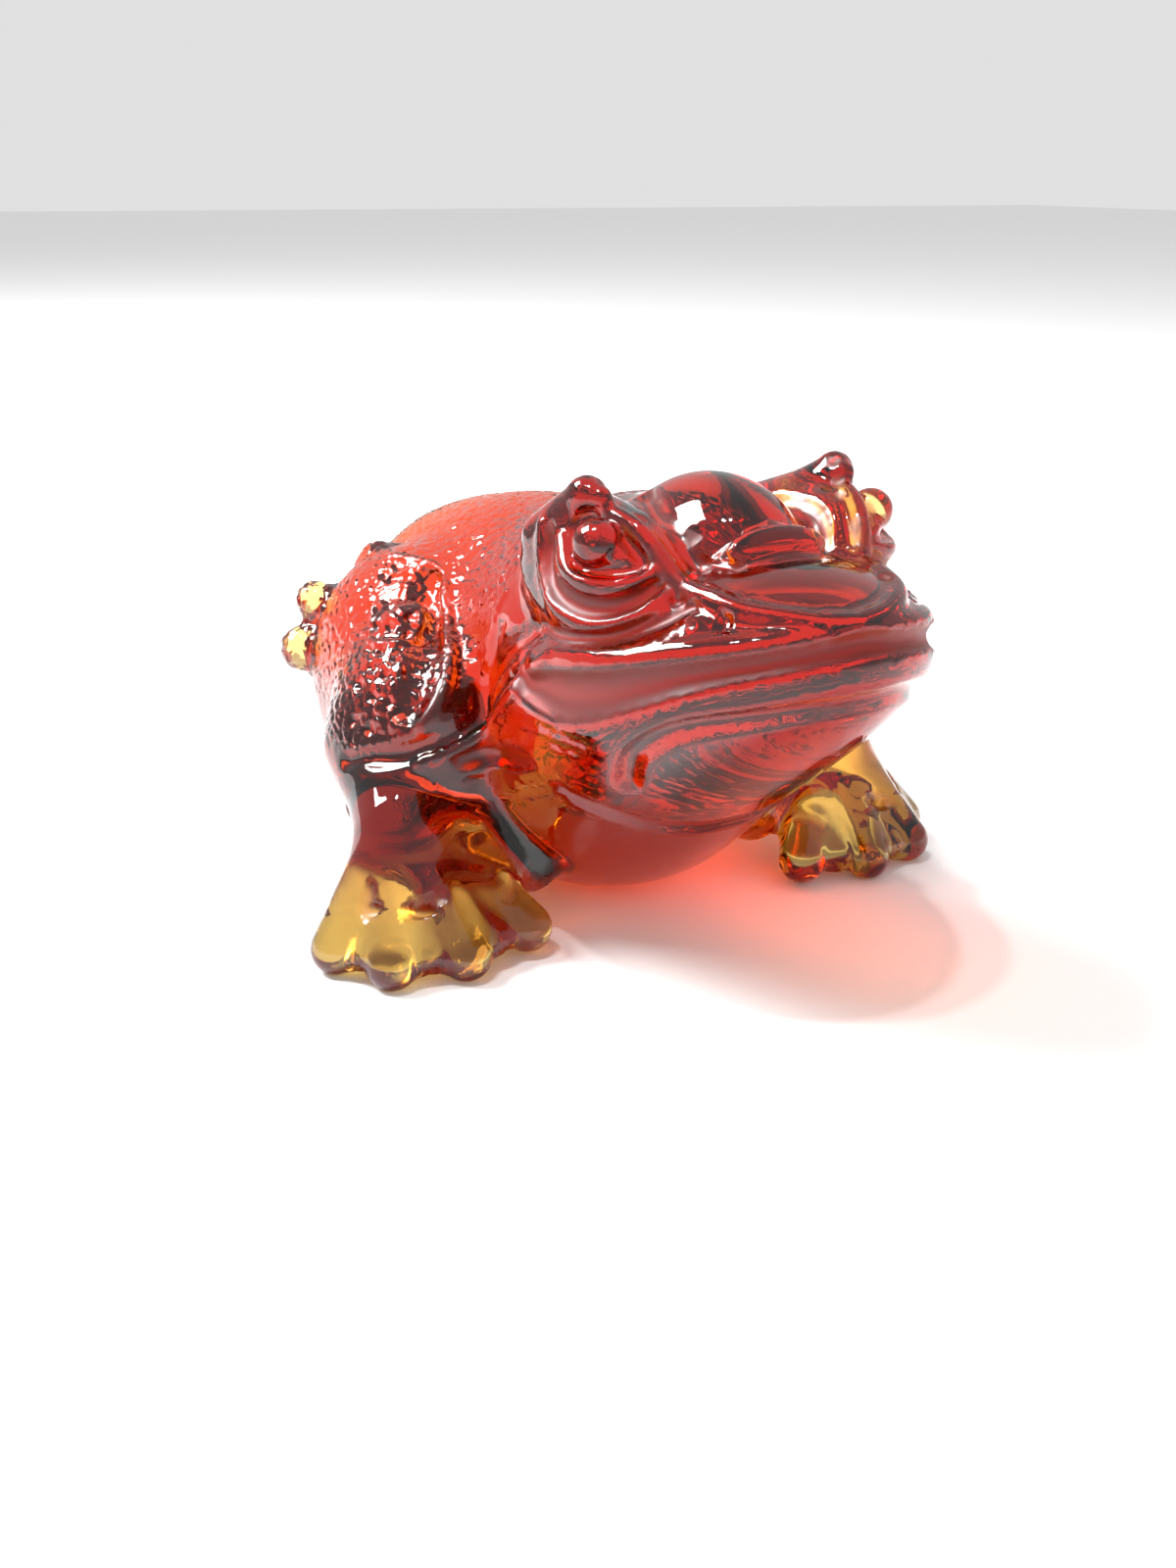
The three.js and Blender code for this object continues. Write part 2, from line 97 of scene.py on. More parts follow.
# %% Joining and basic forms
def blend(a, b, k):
    """The smaller of two distances, rounded off where they differ by less than k."""
    h = np.maximum(k - np.abs(a - b), 0) / k
    return np.minimum(a, b) - h * h * k / 4


def ellipsoid(centre, radii, pitch=0):
    """Distance to an ellipsoid, about k0 * (k0 - 1) / k1, where k0 is the length of the point
    divided by the radii, and k1 the same divided by their squares. Its nose rises by pitch."""
    cos = math.cos(math.radians(pitch))
    sin = math.sin(math.radians(pitch))
    rx, ry, rz = radii

    def distance(p):
        x, y, z = (p[i] - centre[i] for i in range(3))
        u = x / rx
        v = (y * cos - z * sin) / ry
        w = (y * sin + z * cos) / rz
        k0 = np.sqrt(u * u + v * v + w * w)
        k1 = np.sqrt((u / rx) ** 2 + (v / ry) ** 2 + (w / rz) ** 2) + 1e-9
        return k0 * (k0 - 1) / k1

    return distance


def bar(a, b, ra, rb=None):
    """Distance to a rounded bar: to its nearest axis point, less a radius that runs ra to rb."""
    rb = ra if rb is None else rb
    a = np.asarray(a, float)
    ab = np.asarray(b, float) - a
    length2 = float(ab @ ab)

    def distance(p):
        q = [p[i] - a[i] for i in range(3)]
        t = np.clip((q[0] * ab[0] + q[1] * ab[1] + q[2] * ab[2]) / length2, 0, 1)
        d = np.sqrt(sum((q[i] - ab[i] * t) ** 2 for i in range(3)))
        return d - (ra + (rb - ra) * t)

    return distance


def ball(centre, r):
    """Distance to a ball: from its centre, less its radius."""

    def distance(p):
        return np.sqrt(sum((p[i] - centre[i]) ** 2 for i in range(3))) - r

    return distance


print("forms ready: ellipsoid, bar, ball")

# %% [markdown]
# ## The masses
# Each named mass is one bulge of the real carving: the dome of the skull between the brows,
# the turrets that carry the eyes, the two jaws, the heavy trunk, the haunches and the arms
# with their fans of toes. Both sides of the frog are alike, so only the left side is written
# down, and a point's distance from the middle plane is taken without its sign.

# %% Head and trunk
MOUTH_HALF_WIDTH = 15.8
HEAD_PITCH = 20  # degrees that the mouth rises towards the snout
HEAD_ROOT = np.array([0, -12, 21.8])  # middle of the mouth line, between its corners


def head_point(out, forward, above):
    """A point out to the side, forward along the mouth line and above it."""
    cos = math.cos(math.radians(HEAD_PITCH))
    sin = math.sin(math.radians(HEAD_PITCH))
    return HEAD_ROOT + (out, above * sin - forward * cos, forward * sin + above * cos)


BROW_PEAK = [11.2, -15.9, 38.3]
SNOUT_TIP = [0, -34.9, 32.9]

skull = ellipsoid([0, -9, 26], [14, 14, 10.2])
upper_jaw = ellipsoid(head_point(0, 4, 0), [MOUTH_HALF_WIDTH, 20.2, 8.4], HEAD_PITCH)
throat = ellipsoid([0, -14.5, 20], [14.8, 20.5, 9.3], 35)
chest = ellipsoid([0, -1, 12.6], [14.5, 12.5, 11.7])
dome = ellipsoid([0, -15.5, 31.4], [6.6, 9.5, 7.6], 8)
turret = ellipsoid([9.1, -17.3, 31.2], [5.5, 6.2, 6.2], 10)
brow_cone = bar([9, -13, 33], BROW_PEAK, 5.5, 1)
brow_back = bar(BROW_PEAK, [12, -11.5, 34.5], 1.2, 2)
trunk = ellipsoid([0, 9, 15.7], [16.5, 28.3, 17], 1)
rump = ellipsoid([0, 21.5, 18.6], [12.7, 15, 11.3])
haunch = ellipsoid([12.5, 13, 16], [9, 13, 12.5])
haunch_warts = [
    ball([19, 21, 22.7], 1.9),
    ball([20.8, 20.3, 18.6], 2.1),
    ball([13, 20, 26], 1.9),
]

# %% Limbs
WRIST = np.array([21.5, -4, 10])
TOES = np.array([[28.9, -7, 1.9], [26, -11.5, 1.8], [20.2, -12.9, 1.8], [14, -11.4, 2.2]])
HIND_ROOT = [8, 20, 4]
HIND_TOES = [[14.5, 16, 2], [15.5, 20, 2], [13.5, 25, 2]]

shoulder = ellipsoid([17, 3, 16], [6.5, 10, 8.5])
forearm = bar([19, 3, 14], WRIST, 6, 3.6)
armpit = bar([17, -4.5, 8.5], [11.5, -7, 5], 3.6, 1.9)
toes = [bar(WRIST, tip, 3, 2.1) for tip in TOES]
web_edges = [(a + b) / 2 + 0.03 * (WRIST - (a + b) / 2) for a, b in zip(TOES, TOES[1:])]
webs = [bar(WRIST, edge, 2.7, 1.7) for edge in web_edges]
hind_toes = [bar(HIND_ROOT, tip, 3.5, 2) for tip in HIND_TOES]


def body(p):
    """All masses joined, each with the width of its own fillet."""
    d = trunk(p)
    for mass, fillet in (
        (rump, 2),
        (skull, 6),
        (chest, 3),
        (throat, 3),
        (upper_jaw, 2),
        (turret, 2),
        (dome, 1.5),
        (brow_cone, 2),
        (brow_back, 1.5),
        (haunch, 2.5),
        *((wart, 1.5) for wart in haunch_warts),
        (shoulder, 2.5),
        (forearm, 2.5),
        (armpit, 2.5),
    ):
        d = blend(d, mass(p), fillet)
    foot = toes[0](p)
    for form in toes[1:] + webs:
        foot = blend(foot, form(p), 1)
    d = blend(d, foot, 2)
    for toe in hind_toes:
        d = blend(d, toe(p), 1.5)
    return d


print("body distance at the origin:", round(float(body(np.zeros((3, 1)))[0]), 2), "mm")

# %% [markdown]
# ## Lines laid on the surface
# A groove or a ridge follows a curve on the body. A few given points are joined by a
# Catmull-Rom curve, and every point of it is then slid along the slope of the distance
# function until it lies on the surface, so that no line floats or sinks.

# %% Curves on the body
def slope(field, p, e=0.05):
    """The gradient of a field by central differences."""
    rows = []
    for axis in range(3):
        step = np.zeros((3, 1))
        step[axis] = e
        rows.append((field(p + step) - field(p - step)) / (2 * e))
    return np.array(rows)


def settle(field, p, steps=4):
    """Points moved onto the zero level: each step goes back by distance over steepness."""
    for _ in range(steps):
        g = slope(field, p)
        p = p - g * field(p) / np.maximum(0.3, (g * g).sum(0))
    return p


def smooth_path(points, per_span=5, closed=False):
    """Catmull-Rom curve: a cubic between each two points, with slopes from their neighbours."""
    pts = np.asarray(points, float)
    if closed:
        ends = np.vstack([pts[-1], pts, pts[:2]])
    else:
        ends = np.vstack([2 * pts[0] - pts[1], pts, 2 * pts[-1] - pts[-2]])
    t = np.linspace(0, 1, per_span, endpoint=False)[:, None]
    spans = []
    for a, b, c, d in zip(ends, ends[1:], ends[2:], ends[3:]):
        spans.append(
            b
            + t * (c - a) / 2
            + t**2 * (a - 2.5 * b + 2 * c - d / 2)
            + t**3 * (1.5 * (b - c) + (d - a) / 2)
        )
    spans.append(pts[:1] if closed else pts[-1:])
    return np.vstack(spans)


def on_body(points, closed=False):
    """A smooth path through the points, laid onto the body."""
    return settle(body, smooth_path(points, closed=closed).T).T


def distance_to_path(p, path):
    """Distance to the nearest stretch of a path, and how far along it that is, 0 to 1."""
    best = np.full(p.shape[1], 1e9)
    along = np.zeros(p.shape[1])
    for i, (a, b) in enumerate(zip(path, path[1:])):
        ab = (b - a)[:, None]
        q = p - a[:, None]
        t = np.clip((q * ab).sum(0) / max(1e-9, float((ab * ab).sum())), 0, 1)
        d = ((q - ab * t) ** 2).sum(0)
        nearer = d < best
        best = np.where(nearer, d, best)
        along = np.where(nearer, (i + t) / (len(path) - 1), along)
    return np.sqrt(best), along


print("path of 3 points has", len(smooth_path([[0, 0, 0], [1, 0, 0], [2, 1, 0]])), "samples")

# %% [markdown]
# ## The carved lines
# Each line has a half width, which may change along it, a rise that is negative for a groove,
# and a share of frosting, because a burr leaves the floor of a groove matte while the masses
# beside it are polished. Across the line the height follows (1 - t * t) ** 2, which meets the
# body without an edge.

# %% Line and relief
def line(points, half, rise, frost=0.0, closed=False):
    """A carved line: its path on the body, and its half width at every sample of the path."""
    path = on_body(points, closed)
    halves = np.broadcast_to(np.asarray(half, float), (len(points),))
    if closed:
        halves = np.append(halves, halves[0])
    at = np.linspace(0, 1, len(halves))
    return {
        "path": path,
        "half": np.interp(np.linspace(0, 1, len(path)), at, halves),
        "rise": rise,
        "frost": frost,
    }


def height_of(one, p):
    """Height and frosting that one line gives to points: rise * (1 - t * t) ** 2, where t is
    the distance to the path over the half width. Points outside the path's box are skipped."""
    height = np.zeros(p.shape[1])
    frost = np.zeros(p.shape[1])
    reach = one["half"].max()
    low = one["path"].min(0)[:, None] - reach
    high = one["path"].max(0)[:, None] + reach
    near = np.flatnonzero(((p > low) & (p < high)).all(0))
    if len(near):
        d, along = distance_to_path(p[:, near], one["path"])
        half = np.interp(along, np.linspace(0, 1, len(one["half"])), one["half"])
        t = np.minimum(d / half, 1)
        height[near] = one["rise"] * (1 - t * t) ** 2
        frost[near] = one["frost"] * np.clip((1 - t) * 4, 0, 1)
    return height, frost


def relief(lines, p):
    """The heights of all lines added up, and the strongest frosting of any of them."""
    height = np.zeros(p.shape[1])
    frost = np.zeros(p.shape[1])
    for one in lines:
        h, f = height_of(one, p)
        height += h
        frost = np.maximum(frost, f)
    return height, frost


print("relief is the sum of its lines")

# %% Mouth and chin
MOUTH = [
    [15.1, -14, 24.1],
    [14.7, -18.5, 24.4],
    [14, -22, 25.3],
    [12.6, -25.7, 26.7],
    [11, -28.1, 27.7],
    [8.8, -30.4, 28.6],
    [5.9, -32.5, 29.4],
    [2.3, -33.9, 30],
    [0, -34.3, 30.4],
]
LIP = [[14.9, -14.4, 26.4], [14.4, -21.9, 28.1], [11.5, -27.2, 29.4], [6.9, -32.4, 31], [0, -34.3, 31.9]]
CHIN = [[11, -21.9, 17.9], [11.7, -24.4, 21.5], [10.3, -28.5, 24.4], [5.1, -32.7, 25.9], [0, -33.6, 26.3]]
THROAT_FOLD = [[12.5, -15.5, 16], [9.6, -17.7, 13.8], [6, -18.6, 12.4], [0, -19.4, 12]]

mouth_lines = [
    line(MOUTH, [1.2, 2.3, 2.3, 1.8, 1.4, 1.1, 1, 1, 1.2], -1.5, frost=1),
    line(LIP, 1.5, 0.55),
    line(CHIN, 1.3, -0.8),
    line(THROAT_FOLD, 1.3, -0.8),
]
print("mouth lines:", len(mouth_lines))

# %% Eye, with its nested folds
SOCKET = [
    [14, -18.6, 35.2],
    [12.7, -17, 36.7],
    [11.6, -18.2, 37.3],
    [10.9, -20, 36.8],
    [10.4, -21.5, 35.4],
    [10.4, -22.2, 34.3],
    [11.6, -21.3, 33.8],
    [13.3, -19.4, 33.9],
]
BAG = [[13.3, -15.8, 35.3], [14.1, -18, 33.7], [13.6, -20.7, 33.1], [12.2, -22.1, 33.3], [9.9, -23.2, 34.3]]
INNER_GROOVE = [
    [13.1, -14.3, 35.6],
    [13.8, -15.7, 32.8],
    [14, -18.2, 31.8],
    [13, -20.8, 31.4],
    [11.1, -22.6, 31.9],
    [9.7, -23.2, 33],
]
ROLL = [
    [13.4, -13.5, 35.9],
    [14.1, -14, 33.6],
    [14.8, -16.8, 31],
    [14.5, -20, 30.1],
    [12.8, -22.5, 30.6],
    [10.6, -23.8, 31.8],
    [9.2, -24.1, 32.8],
]
OUTER_GROOVE = [[13.9, -14.6, 28.6], [13.8, -18.4, 28.7], [12.6, -22.5, 29.5], [10.6, -25, 31], [8.4, -26.2, 32.2]]
CHEEK = [[15, -18.2, 28], [14.3, -21.8, 28.5], [12.6, -25.5, 29.6], [9.6, -27.5, 31.2]]
LID_WEDGE = [[11.4, -19.3, 37.1], [11.3, -20.7, 36.2], [10.7, -21.2, 35.2], [10.3, -22, 34.5]]

eye_lines = [
    line(SOCKET, 0.85, -1.15, frost=0.15, closed=True),
    line(BAG, 0.85, 0.65),
    line(INNER_GROOVE, [0.7, 1, 1, 1, 0.9, 0.6], -1, frost=0.9),
    line(ROLL, 0.9, 0.65),
    line(OUTER_GROOVE, [0.6, 0.8, 0.9, 0.9, 0.6], -0.9, frost=0.75),
    line(CHEEK, 0.5, 0.35, frost=0.3),
    line(LID_WEDGE, [0.35, 0.5, 0.5, 0.3], -0.3, frost=1),
]
print("eye lines:", len(eye_lines))

# %% Snout
DOME_GROOVE = [[3.4, -11, 36.8], [5.7, -16.4, 36.5], [6.5, -19.6, 35.6], [5.5, -22, 33.9]]
FROWN = [[9, -22.7, 35.4], [8.8, -23.8, 34.1], [8.9, -24.8, 32.8]]
NOSTRIL = [[7.4, -27, 33.6], [7.6, -28.8, 33], [7.8, -29.2, 31.8], [8.8, -29.8, 31]]
LEAF_TOP = [[4.3, -22.7, 34.3], [3.3, -23, 35.2], [1.8, -23.5, 36.1], [0, -23.1, 36.6]]
LEAF_FOOT = [[4.3, -22.7, 34.3], [3.5, -24.6, 34.3], [1.8, -25.3, 34.5], [0, -25.4, 34.6]]

snout_lines = [
    line(DOME_GROOVE, [1, 1.5, 1.6, 1.2], -1, frost=0.45),
    line(FROWN, 1.2, -0.35, frost=0.7),
    line(NOSTRIL, [0.5, 0.7, 0.7, 0.4], -0.9),
    line(LEAF_TOP, 0.4, 0.35, frost=0.5),
    line(LEAF_FOOT, 0.4, 0.3, frost=0.5),
]
print("snout lines:", len(snout_lines))

# %% Neck, flank and haunch
FOLD = [
    [13.8, -13.1, 28.1],
    [14.4, -8.9, 25],
    [14.4, -6, 21.5],
    [15.2, -5.8, 19.2],
    [17.3, -6.2, 18],
    [19.5, -5.6, 17.1],
    [21.9, -3.1, 15.8],
    [24.2, 0.6, 14.6],
]
FOLD_EDGE = [[15.2, -16.9, 27.1], [15.6, -13.5, 23.8], [15.6, -9.6, 20.6], [16.4, -6.9, 17.9], [20.1, -4.9, 16]]
NECK_STRAND = [[13.2, -6.5, 29.1], [14.2, -5.8, 25.5], [14.7, -5.3, 21.3], [16, -5.6, 19.4]]
NECK_LEAVES = (
    [[13.7, -7.8, 27.1], [14.1, -6.8, 25.5], [14.5, -5.6, 22.4]],
    [[14, -11.2, 27], [13.8, -7.8, 25.1], [14.1, -6.2, 23], [14.6, -5.6, 20.9]],
)
FLANK_HOLLOW = [[13.4, 7.3, 27.2], [14.6, 5.5, 25.2], [16.5, 1.8, 23.8], [18.6, -2, 22], [20.3, -3.4, 19.8]]
FLANK_RIDGE = [
    [14.6, 12.6, 28.2],
    [12.7, 8, 27.9],
    [13.2, 5.4, 26.9],
    [14.8, 1.2, 24.6],
    [16.5, -3, 23],
    [18.4, -5.3, 20.9],
    [20, -5, 18.6],
]
LOBE_EDGE = [[16, 9.9, 27], [14.4, 8.2, 26.5], [14.9, 4.5, 24.8], [16.8, 1.4, 24], [19.5, 0.7, 23.4]]
CREASE = [[17.4, -6.8, 15.8], [14.8, -8.5, 16.3], [14.1, -13.1, 17.6]]
WRINKLES = (
    [[16.3, -6.1, 18.5], [15.2, -9.2, 19.2], [15.4, -15.6, 20.4], [14.2, -20.2, 20.4]],
    [[15.4, -6.6, 18.9], [15.5, -11.7, 20.5], [15.4, -18, 21.7], [14.1, -21.4, 21.2]],
    [[18.7, -6.6, 14.9], [15.8, -6.8, 13.9], [14, -10.4, 14.8], [14, -16, 17.2]],
    [[19.9, -6.3, 14.3], [16.6, -6.6, 13.1], [13.8, -9.8, 13.7], [13, -15.4, 16]],
    [[20.7, -6.2, 13.7], [17.1, -6.7, 12.4], [13.4, -9.2, 12.4], [12.4, -15.2, 14.9]],
)

flank_lines = [
    line(FOLD, [0.8, 1.2, 1.3, 1.3, 1.3, 1.3, 1.2, 0.8], -1.2),
    line(FOLD_EDGE, 1, 0.75),
    line(NECK_STRAND, 0.5, 0.4),
    line(FLANK_HOLLOW, 1.9, -1.3),
    line(FLANK_RIDGE, 0.85, 0.75, frost=0.45),
    line(LOBE_EDGE, 0.7, -0.5),
    line(CREASE, 1.2, -0.8, frost=0.55),
    *(line(leaf, [0.45, 0.75, 0.3] if len(leaf) == 3 else [0.5, 0.8, 0.7, 0.3], -0.5, frost=0.3)
      for leaf in NECK_LEAVES),
    *(line(wrinkle, 0.4, -0.28) for wrinkle in WRINKLES),
]
print("flank lines:", len(flank_lines))

# %% Feet
THUMB_MARKS = ([[14.3, -9.8, 5.9], [15.7, -11.5, 5.4]], [[11.9, -8.8, 5], [10.8, -8.2, 4.3]])

foot_lines = [
    *(
        line([WRIST + t * (edge - WRIST) for t in (0.3, 0.65, 1.05)], [0.6, 0.9, 1.1], -1.15, frost=0.85)
        for edge in web_edges
    ),
    *(line(mark, 0.7, -0.25, frost=0.9) for mark in THUMB_MARKS),
]
print("foot lines:", len(foot_lines))

# %% [markdown]
# ## The whole form
# The lines are taken away from the body first. What stands proud of everything is joined on
# afterwards, so that no groove cuts it: the sharp ridge from each brow to the tip of the
# snout, the eyeball in its socket, the leaf-shaped boss on the snout and the knot of
# curls on the haunch.

# %% Raised details and the full distance
SNOUT_RIDGE = [
    [10.9, -17.6, 38.4],
    [10, -20.5, 37.3],
    [8.9, -23.6, 35.4],
    [7.8, -27.4, 33.6],
    [6.6, -30.4, 33],
    [3.4, -33.4, 32.8],
    SNOUT_TIP,
]
RIDGE_RADIUS = 0.75
ridge_path = on_body(SNOUT_RIDGE)
eyeball = ball([12.3, -19.3, 35.6], 1.75)
leaf_boss = ellipsoid([0, -24, 34.9], [4.3, 1.7, 1], -60)
knot = ball([17, 4.6, 23.6], 2.5)
carved_lines = mouth_lines + eye_lines + snout_lines + flank_lines + foot_lines
REACH = 2.5  # lines change nothing further from the body than this


def form(p):
    """Body less the carved lines, then joined with the raised details. x counts unsigned."""
    q = np.vstack([np.abs(p[:1]), p[1:]])
    d = body(q)
    near = np.flatnonzero(np.abs(d) < REACH)
    d[near] -= relief(carved_lines, q[:, near])[0]
    ridge = np.full(len(d), 10.0)
    ridge[near] = distance_to_path(q[:, near], ridge_path)[0] - RIDGE_RADIUS
    for detail, fillet in ((ridge, 0.8), (eyeball(q), 0.4), (leaf_boss(q), 0.4), (knot(q), 0.8)):
        d = blend(d, detail, fillet)
    return d


print("carved lines:", len(carved_lines))

# %% [markdown]
# ## From distances to a mesh
# Surface nets turn the distance function into faces. Space is cut into small cells. Each cell
# that the surface passes through gets one vertex, in the middle of the places where it
# crosses the cell's edges, and each grid edge that the surface crosses gets one square
# between the four cells around it. Only the left half is made and then mirrored.

# %% Surface nets
def grid_lines(stops, steps):
    """Coordinates from stop to stop, with an even step in each stretch."""
    lines = [np.array([])]
    for a, b, step in zip(stops, stops[1:], steps):
        lines.append(np.linspace(a, b, round((b - a) / step), endpoint=False))
    return np.append(np.concatenate(lines), stops[-1])


def surface_net(values, axes):
    """Vertices and squares of the zero level of values on the grid of the three axes."""
    shape = np.array(values.shape)
    cells = tuple(shape - 1)
    total = np.zeros((int(np.prod(cells)), 3))
    count = np.zeros(len(total))
    squares = []
    for axis in range(3):
        low = [slice(None)] * 3
        high = [slice(None)] * 3
        low[axis] = slice(None, -1)
        high[axis] = slice(1, None)
        a, b = values[tuple(low)], values[tuple(high)]
        at = np.argwhere((a < 0) != (b < 0))
        va, vb = a[tuple(at.T)], b[tuple(at.T)]
        t = va / (va - vb)
        point = np.stack([axes[i][at[:, i]] for i in range(3)], 1)
        start, end = axes[axis][at[:, axis]], axes[axis][at[:, axis] + 1]
        point[:, axis] = start + t * (end - start)
        u, v = (axis + 1) % 3, (axis + 2) % 3
        ring = []
        inner = np.ones(len(at), bool)
        for du, dv in ((1, 1), (0, 1), (0, 0), (1, 0)):
            cell = at.copy()
            cell[:, u] -= du
            cell[:, v] -= dv
            ok = ((cell >= 0) & (cell < cells)).all(1)
            inner &= ok
            index = np.ravel_multi_index(np.where(ok[:, None], cell, 0).T, cells)
            np.add.at(total, index[ok], point[ok])
            np.add.at(count, index[ok], 1)
            ring.append(index)
        ring = np.stack(ring, 1)
        ring[va > 0] = ring[va > 0][:, ::-1]
        squares.append(ring[inner])
    squares = np.vstack(squares)
    used, squares = np.unique(squares, return_inverse=True)
    return total[used] / count[used][:, None], squares.reshape(-1, 4), used


STEP = 0.54  # in millimetres; keeps the whole frog under 200,000 triangles
xs = np.concatenate([[-STEP / 2], grid_lines([STEP / 2, 33 + STEP / 2], [STEP])])
ys = grid_lines([-38, 39], [STEP])
zs = grid_lines([-2.5, 41.5], [STEP])
grid = np.stack(np.meshgrid(xs, ys, zs, indexing="ij")).reshape(3, -1)
values = np.concatenate([form(part) for part in np.array_split(grid, 24, axis=1)])
values = values.reshape(len(xs), len(ys), len(zs))
points, squares, cell_of = surface_net(values, (xs, ys, zs))
on_middle = cell_of // ((len(ys) - 1) * (len(zs) - 1)) == 0
points[on_middle, 0] = 0
print("half a frog:", len(points), "points,", len(squares), "squares")

# %% [markdown]
# ## Finer faces where the carver worked fine
# Small pits and folds need small faces, and the smooth throat and belly don't. Every edge
# whose middle lies in a finely carved zone gets a new point, and each triangle is split by
# how many of its edges were halved: into two, three or four. Neighbours share their halved
# edges, so no gap opens.

# %% Splitting chosen edges
def triangles_of(points, squares):
    """Two triangles for each square, cut along its shorter diagonal."""
    a, b, c, d = (points[squares[:, i]] for i in range(4))
    short = ((a - c) ** 2).sum(1) < ((b - d) ** 2).sum(1)
    first = np.where(short[:, None], squares[:, [0, 1, 2]], squares[:, [0, 1, 3]])
    second = np.where(short[:, None], squares[:, [0, 2, 3]], squares[:, [1, 2, 3]])
    return np.vstack([first, second])


def split_edges(points, triangles, chosen):
    """Halves the edges whose middle is in the chosen zone, and splits their triangles."""
    ends = np.sort(triangles[:, [[0, 1], [1, 2], [2, 0]]].reshape(-1, 2), 1)
    edges, of_triangle = np.unique(ends, axis=0, return_inverse=True)
    of_triangle = of_triangle.reshape(-1, 3)
    middles = points[edges].mean(1)
    marked = chosen(middles.T)
    index = np.full(len(edges), -1)
    index[marked] = len(points) + np.arange(marked.sum())
    middle = index[of_triangle]
    count = (middle >= 0).sum(1)
    made = [triangles[count == 0]]
    for turn in range(3):
        i, j, k = ((turn + s) % 3 for s in range(3))
        a, b, c = (triangles[:, s] for s in (i, j, k))
        ab, bc, ca = (middle[:, s] for s in (i, j, k))
        one = (count == 1) & (ab >= 0)
        made += [np.stack(t, 1)[one] for t in ((a, ab, c), (ab, b, c))]
        two = (count == 2) & (ca < 0)
        made += [np.stack(t, 1)[two] for t in ((ab, b, bc), (a, ab, bc), (a, bc, c))]
        all_three = count == 3
        made.append(np.stack((a, ab, ca), 1)[all_three])
    made.append(middle[count == 3])
    return np.vstack([points, middles[marked]]), np.vstack(made)


def skin_share(p):
    """How much of the pebbled skin a place has: full behind the neck fold, none on the head,
    the limbs and the belly. It rises from 0 to 1 over two millimetres on each border."""
    x = np.abs(p[0])
    front = p[1] + 7.5 - np.clip((28 - p[2]) * 0.3, 0, 2.5)
    above = p[2] - np.where(x > 12, 14.5 + np.clip((-1 - p[1]) * 0.8, 0, 4), 17)
    return np.clip(front / 2, 0, 1) * np.clip(above / 2, 0, 1)


EYE_MIDDLE = np.array([[11.6], [-20], [34.3]])
SNOUT_MIDDLE = np.array([[2.5], [-24.5], [35]])


def finely_carved(p):
    """True on the pebbled skin, round the eye and round the boss on the snout."""
    eye = np.sqrt(((p - EYE_MIDDLE) ** 2).sum(0)) < 5.6
    snout = np.sqrt(((p - SNOUT_MIDDLE) ** 2).sum(0)) < 3.5
    ridge = distance_to_path(p, ridge_path)[0] < 1.4
    return eye | snout | ridge | (skin_share(p) > 0.3)


triangles = triangles_of(points, squares)
points, triangles = split_edges(points, triangles, finely_carved)
on_middle = np.abs(points[:, 0]) < 1e-9
points = settle(form, points.T, 2).T
points[on_middle, 0] = 0
print("after splitting:", len(points), "points,", len(triangles), "triangles")

# %% Both halves
mirror_index = np.where(on_middle, np.arange(len(points)), -1)
mirror_index[~on_middle] = len(points) + np.arange((~on_middle).sum())
whole = np.vstack([points, points[~on_middle] * (-1, 1, 1)])
faces = np.vstack([triangles, mirror_index[triangles[:, ::-1]]])
print("whole frog:", len(whole), "points,", len(faces), "triangles")

# %% [markdown]
# ## Fine relief
# The smallest work is laid on the finished points, along their normals: thin scratched
# lines, drilled dots, the curls of the knot, and the pebbled skin, where every pebble
# is the patch of points nearest to one seed and the border between two seeds is a furrow.

# %% Marks on the finished surface
def mark(points, half, rise, frost=0.0, closed=False):
    """A thin line or a dot like the carved lines, but settled on the finished form."""
    path = np.asarray(points, float)
    if len(path) > 1:
        path = smooth_path(path, closed=closed)
    else:
        path = np.vstack([path, path + 1e-3])
    path = settle(form, path.T, 4).T
    halves = np.atleast_1d(np.asarray(half, float))
    at = np.linspace(0, 1, len(halves))
    return {
        "path": path,
        "half": np.interp(np.linspace(0, 1, len(path)), at, halves),
        "rise": rise,
        "frost": frost,
    }


DOTS = [
    [5.9, -28.5, 31.9],
    [5, -20.3, 35.4],
    [5.8, -15.7, 36.5],
    [4, -24.8, 34],
    [10.4, -16.8, 39.2],
    [9.8, -18.1, 37.9],
    [8.8, -19.4, 37.1],
]
KNOT_PITS = [[19.2, 3.4, 24.8], [17.4, 3, 25.2], [17.6, 5.4, 25.8], [19.3, 5.4, 24.2], [18.2, 1.9, 24]]
HAUNCH_PITS = [
    [20.8, 3.9, 22.9],
    [20.4, 2.2, 23.2],
    [20.1, 0, 23],
    [21.5, 1.7, 22],
    [21.2, -0.4, 21.8],
    [22.6, 1.9, 20.5],
    [22.3, -0.4, 20.1],
    [21.6, -2.1, 20.1],
    [23.6, 0.7, 18],
    [23.1, -1.2, 17.8],
]
HAUNCH_OVALS = [[16.3, 11.1, 27.2], [14.8, 10.8, 27.3]]
CURL = [[19.4, 7.6, 24.8], [18.6, 8.6, 25.4], [18, 7.8, 25.6], [18.8, 6.6, 25], [20, 6.4, 23.9], [20.2, 7.6, 23.6]]
KNOT_RIM = [
    [20.2, 4.8, 23.4],
    [19.2, 6.4, 24.6],
    [17.6, 7.2, 25.4],
    [16.4, 5.8, 25.9],
    [16.3, 3.2, 25.4],
    [17.3, 1.6, 24.2],
    [19, 1.2, 23.9],
    [20, 2.8, 23.6],
]

